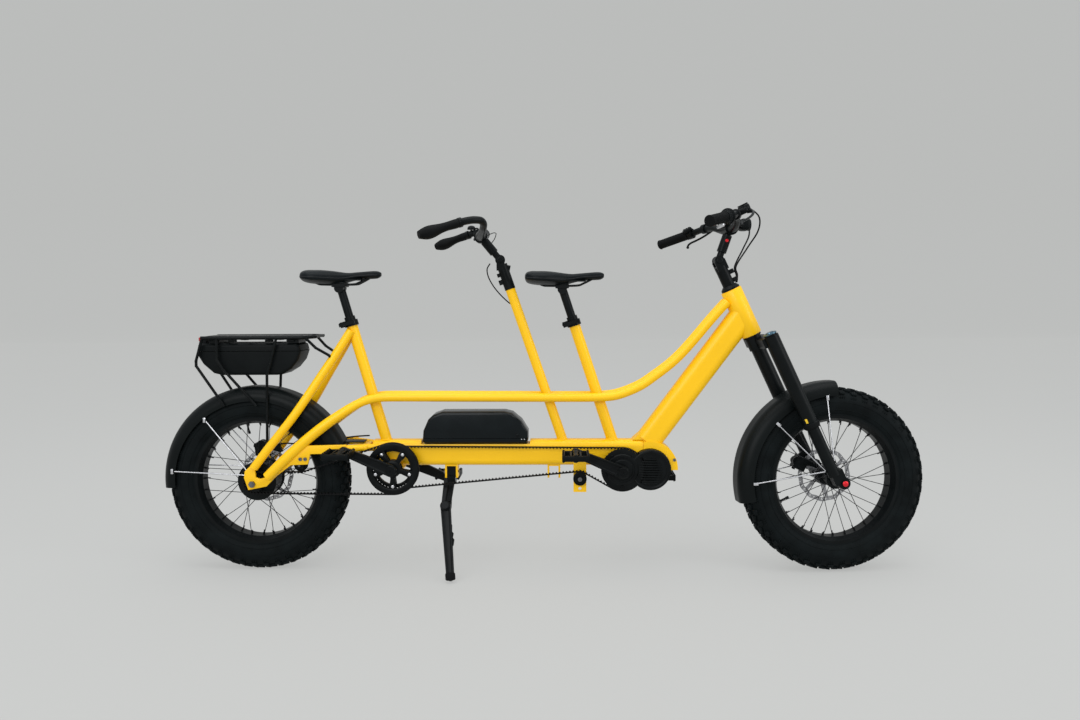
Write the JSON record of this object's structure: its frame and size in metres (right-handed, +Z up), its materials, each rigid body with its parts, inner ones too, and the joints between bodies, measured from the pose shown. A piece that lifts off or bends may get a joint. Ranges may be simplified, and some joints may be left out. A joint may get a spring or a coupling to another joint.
{
  "type": "tandem bicycle",
  "caption": "Electric tandem bicycle with fat tyres, twin side rails, belt drive, mid motor, boom battery, rear rack, mudguards, disc brakes and a side kickstand.",
  "frame": {"origin": "on the ground in the centre plane, half way between the rear mudguard's tail and the front tyre's front", "axes": "+X forwards along the bicycle, +Y to the rider's left, +Z up"},
  "size_m": [2.5009, 0.6796, 1.1734],
  "materials": {
    "yellow_paint": "satin",
    "black_paint": "satin",
    "black_alloy": "satin",
    "black_steel": "satin",
    "steel": "brushed",
    "rotor_steel": "brushed",
    "belt_rubber": "matte",
    "cable_rubber": "satin",
    "grip_rubber": "matte",
    "tyre": "matte",
    "black_plastic": "matte",
    "guard_plastic": "satin",
    "gloss_black": "glossy",
    "saddle_vinyl": "satin"
  },
  "bodies": {
    "frame": {"front_frame": "yellow_paint", "boom": "yellow_paint", "posts": "yellow_paint", "rails": "yellow_paint", "rear_stays": "yellow_paint", "motor": "black_paint", "fittings": "black_alloy", "frame_bolts": "steel", "belts": "belt_rubber", "frame_cables": "cable_rubber", "rack": "black_alloy", "rack_box": "black_plastic", "rear_mudguard": "guard_plastic", "rear_caliper": "black_alloy", "stoker_stem_base": "black_alloy"},
    "battery": {"battery": "gloss_black"},
    "stoker": {"stoker_stem_arm": "black_alloy", "stoker_bar": "black_alloy", "stoker_grips": "grip_rubber"},
    "kickstand": {"kickstand_leg": "black_alloy"},
    "rear_seat": {"rear_seatpost": "black_alloy", "rear_saddle": "saddle_vinyl"},
    "front_seat": {"front_seatpost": "black_alloy", "front_saddle": "saddle_vinyl"},
    "rear_seat_lever": {"rear_collar_lever": "black_alloy"},
    "front_seat_lever": {"front_collar_lever": "black_alloy"},
    "steering": {"fork_upper": "black_alloy", "stem_base": "black_alloy", "bar_cables": "cable_rubber"},
    "cockpit": {"stem_arm": "black_alloy", "handlebar": "black_alloy", "grips": "grip_rubber", "display": "steel", "headlight": "black_plastic", "bar_controls": "black_plastic"},
    "shifter": {"twist_shifter": "black_plastic"},
    "left_lever": {"left_brake_lever": "black_alloy"},
    "right_lever": {"right_brake_lever": "black_alloy"},
    "fork_slider": {"fork_lower": "black_alloy", "front_mudguard": "guard_plastic", "front_caliper": "black_alloy"},
    "front_wheel": {"front_tyre": "tyre", "front_rim": "black_alloy", "front_spokes": "black_steel", "front_hub": "black_alloy", "front_rotor": "rotor_steel"},
    "rear_wheel": {"rear_tyre": "tyre", "rear_rim": "black_alloy", "rear_spokes": "black_steel", "rear_hub": "black_alloy", "rear_rotor": "rotor_steel"},
    "rear_cog": {"rear_cog": "black_alloy"},
    "front_crank": {"front_crank": "black_alloy"},
    "rear_crank": {"rear_crank": "black_alloy"},
    "front_left_pedal": {"front_left_pedal": "black_plastic"},
    "front_right_pedal": {"front_right_pedal": "black_plastic"},
    "rear_left_pedal": {"rear_left_pedal": "black_plastic"},
    "rear_right_pedal": {"rear_right_pedal": "black_plastic"},
    "front_idler": {"front_idler": "black_plastic"},
    "rear_idler": {"rear_idler": "black_plastic"}
  },
  "joints": [
    {"name": "steering", "type": "hinge", "parent": "frame", "child": "steering", "pos_m": [0.68332, 0, 0.77163], "axis": [-0.4226, 0, 0.9063], "range_deg": [-66, 54]},
    {"name": "stem_tilt", "type": "hinge", "parent": "steering", "child": "cockpit", "pos_m": [0.57397, 0.00021, 1.01083], "axis": [-0.0947, 0.9945, -0.0442], "range_deg": [-35, 25], "deforming": ["bar_cables"]},
    {"name": "twist_shifter_turn", "type": "hinge", "parent": "cockpit", "child": "shifter", "pos_m": [0.5531, -0.2422, 1.13064], "axis": [-0.5756, -0.7992, -0.1733], "range_deg": [0, 70]},
    {"name": "left_brake_squeeze", "type": "hinge", "parent": "cockpit", "child": "left_lever", "pos_m": [0.59345, 0.19292, 1.14239], "axis": [-0.4226, 0, 0.9063], "range_deg": [0, 11], "stiffness_Nm_per_rad": 0.6, "springref_deg": -14.32},
    {"name": "right_brake_squeeze", "type": "hinge", "parent": "cockpit", "child": "right_lever", "pos_m": [0.62831, -0.17306, 1.15865], "axis": [0.4226, 0, -0.9063], "range_deg": [0, 11], "stiffness_Nm_per_rad": 0.6, "springref_deg": -14.32},
    {"name": "fork_travel", "type": "slide", "parent": "steering", "child": "fork_slider", "axis": [-0.4226, 0, 0.9063], "range_m": [0, 0.06], "stiffness_N_per_m": 12000, "springref_m": -0.02},
    {"name": "front_wheel_spin", "type": "hinge", "parent": "fork_slider", "child": "front_wheel", "pos_m": [0.95029, 0.00449, 0.3003], "axis": [-0.0947, 0.9945, -0.0442], "continuous": true},
    {"name": "rear_wheel_spin", "type": "hinge", "parent": "frame", "child": "rear_wheel", "pos_m": [-0.9375, 0, 0.3], "axis": [0, 1, 0], "continuous": true},
    {"name": "rear_crank_spin", "type": "hinge", "parent": "frame", "child": "rear_crank", "pos_m": [-0.4825, 0, 0.346], "axis": [0, 1, 0], "continuous": true},
    {"name": "front_crank_spin", "type": "hinge", "parent": "frame", "child": "front_crank", "pos_m": [0.2625, 0, 0.34], "axis": [0, 1, 0], "continuous": true},
    {"name": "rear_cog_spin", "type": "hinge", "parent": "frame", "child": "rear_cog", "pos_m": [-0.9375, 0, 0.3], "axis": [0, 1, 0], "continuous": true},
    {"name": "front_idler_spin", "type": "hinge", "parent": "frame", "child": "front_idler", "pos_m": [0.1255, 0, 0.309], "axis": [0, 1, 0], "continuous": true},
    {"name": "rear_idler_spin", "type": "hinge", "parent": "frame", "child": "rear_idler", "pos_m": [-0.7825, 0, 0.35981], "axis": [0, 1, 0], "continuous": true},
    {"name": "front_left_pedal_spin", "type": "hinge", "parent": "front_crank", "child": "front_left_pedal", "pos_m": [0.41438, 0.1545, 0.27553], "axis": [0, 1, 0], "continuous": true},
    {"name": "front_right_pedal_spin", "type": "hinge", "parent": "front_crank", "child": "front_right_pedal", "pos_m": [0.11062, -0.1545, 0.40447], "axis": [0, 1, 0], "continuous": true},
    {"name": "rear_left_pedal_spin", "type": "hinge", "parent": "rear_crank", "child": "rear_left_pedal", "pos_m": [-0.33062, 0.1545, 0.28153], "axis": [0, 1, 0], "continuous": true},
    {"name": "rear_right_pedal_spin", "type": "hinge", "parent": "rear_crank", "child": "rear_right_pedal", "pos_m": [-0.63438, -0.1545, 0.41047], "axis": [0, 1, 0], "continuous": true},
    {"name": "rear_seat_height", "type": "slide", "parent": "frame", "child": "rear_seat", "axis": [-0.2689, 0, 0.9632], "range_m": [-0.06, 0.09]},
    {"name": "front_seat_height", "type": "slide", "parent": "frame", "child": "front_seat", "axis": [-0.309, 0, 0.9511], "range_m": [-0.06, 0.09]},
    {"name": "rear_seat_lever_swing", "type": "hinge", "parent": "frame", "child": "rear_seat_lever", "pos_m": [-0.65134, 0, 0.81223], "axis": [0, -1, 0], "range_deg": [0, 100]},
    {"name": "front_seat_lever_swing", "type": "hinge", "parent": "frame", "child": "front_seat_lever", "pos_m": [0.07797, 0, 0.80928], "axis": [0, -1, 0], "range_deg": [0, 100]},
    {"name": "stoker_stem_tilt", "type": "hinge", "parent": "frame", "child": "stoker", "pos_m": [-0.13028, 0, 1.01927], "axis": [-0.0698, 0.9976, 0], "range_deg": [-30, 25]},
    {"name": "kickstand_fold", "type": "hinge", "parent": "frame", "child": "kickstand", "pos_m": [-0.3115, -0.056, 0.219], "axis": [0, 0.9112, -0.4121], "range_deg": [0, 92]},
    {"name": "battery_slide", "type": "slide", "parent": "frame", "child": "battery", "axis": [0, -1, 0], "range_m": [0, 0.12]}
  ],
  "couplings": [
    {"joint": "front_crank_spin", "follows": "rear_crank_spin", "ratio": 1},
    {"joint": "rear_cog_spin", "follows": "rear_crank_spin", "ratio": 2.4},
    {"joint": "front_idler_spin", "follows": "rear_crank_spin", "ratio": -3.1263},
    {"joint": "rear_idler_spin", "follows": "rear_crank_spin", "ratio": -3.7515}
  ]
}
